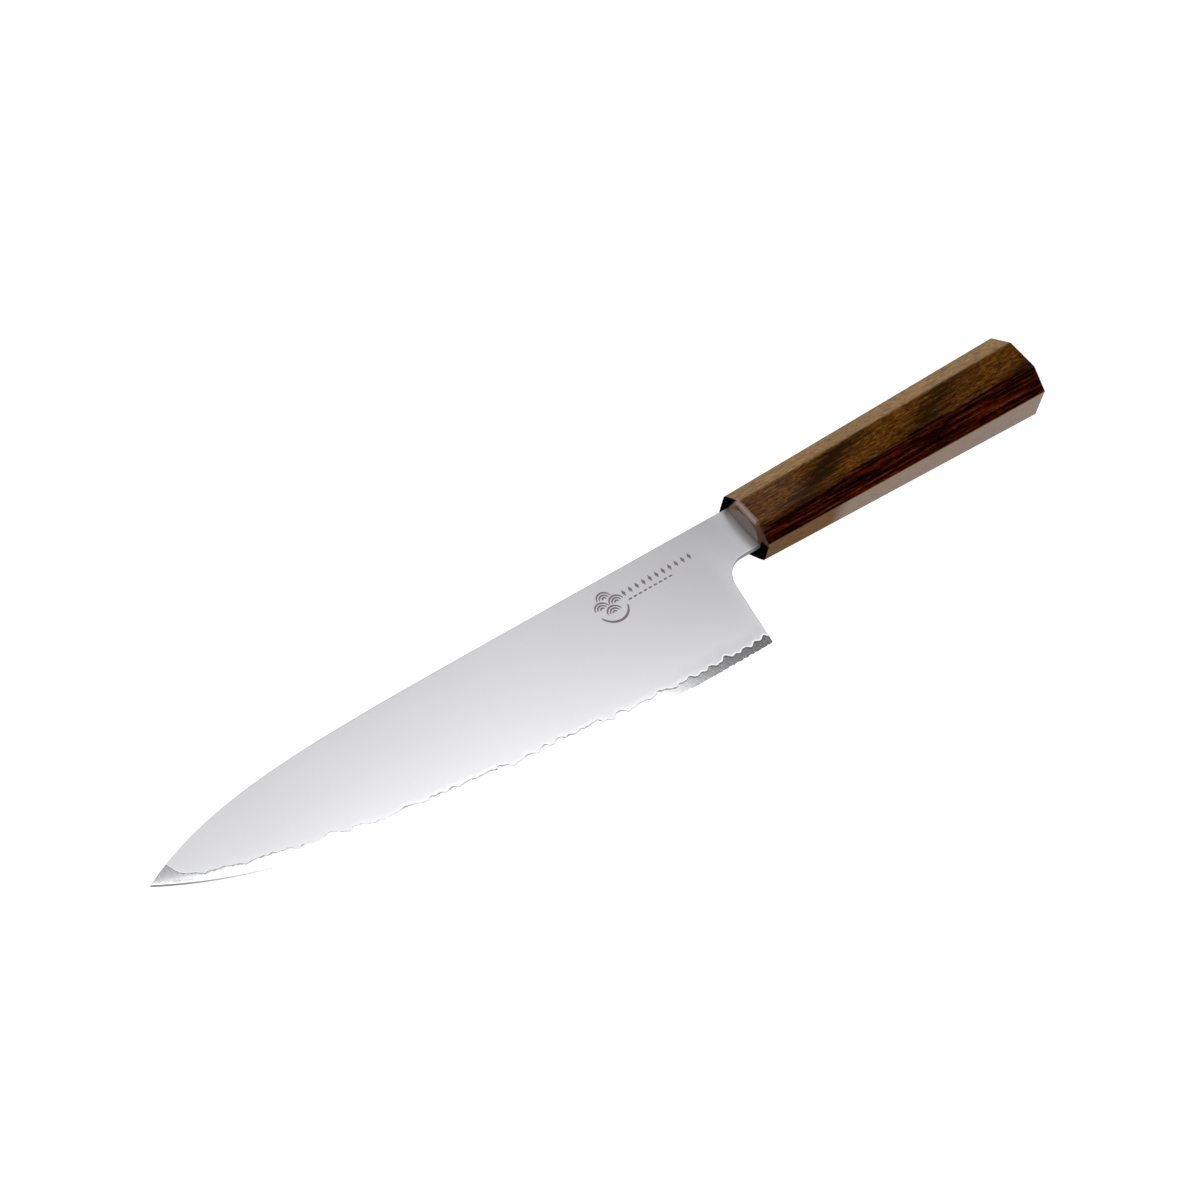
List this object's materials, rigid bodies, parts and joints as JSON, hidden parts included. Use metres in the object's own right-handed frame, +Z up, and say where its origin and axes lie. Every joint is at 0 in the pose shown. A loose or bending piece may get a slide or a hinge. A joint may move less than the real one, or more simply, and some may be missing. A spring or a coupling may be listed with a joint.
{
  "type": "chef knife",
  "caption": "Chef's knife with a long tapering blade of layered steel, a bare steel edge band and tip, and a tapered eight-sided wooden handle glued over a hidden tang.",
  "frame": {"origin": "middle of the knife's footprint, at the level of the board that it lies on, right side down", "axes": "+X along the knife from tip to butt, +Y from the cutting edge to the spine, +Z up out of the blade's left face. The knife rests on the handle's front end and on the tip, so its own long axis rises 2.06 degrees towards the butt"},
  "size_m": [0.3352, 0.0514, 0.0231],
  "materials": {
    "core_steel": "polished",
    "cladding_steel": "satin",
    "handle_wood": "lacquered",
    "epoxy": "matte"
  },
  "bodies": {
    "root": {"blade_core": "core_steel", "cladding_left": "cladding_steel", "cladding_right": "cladding_steel", "handle": "handle_wood", "tang_adhesive": "epoxy"}
  },
  "joints": []
}
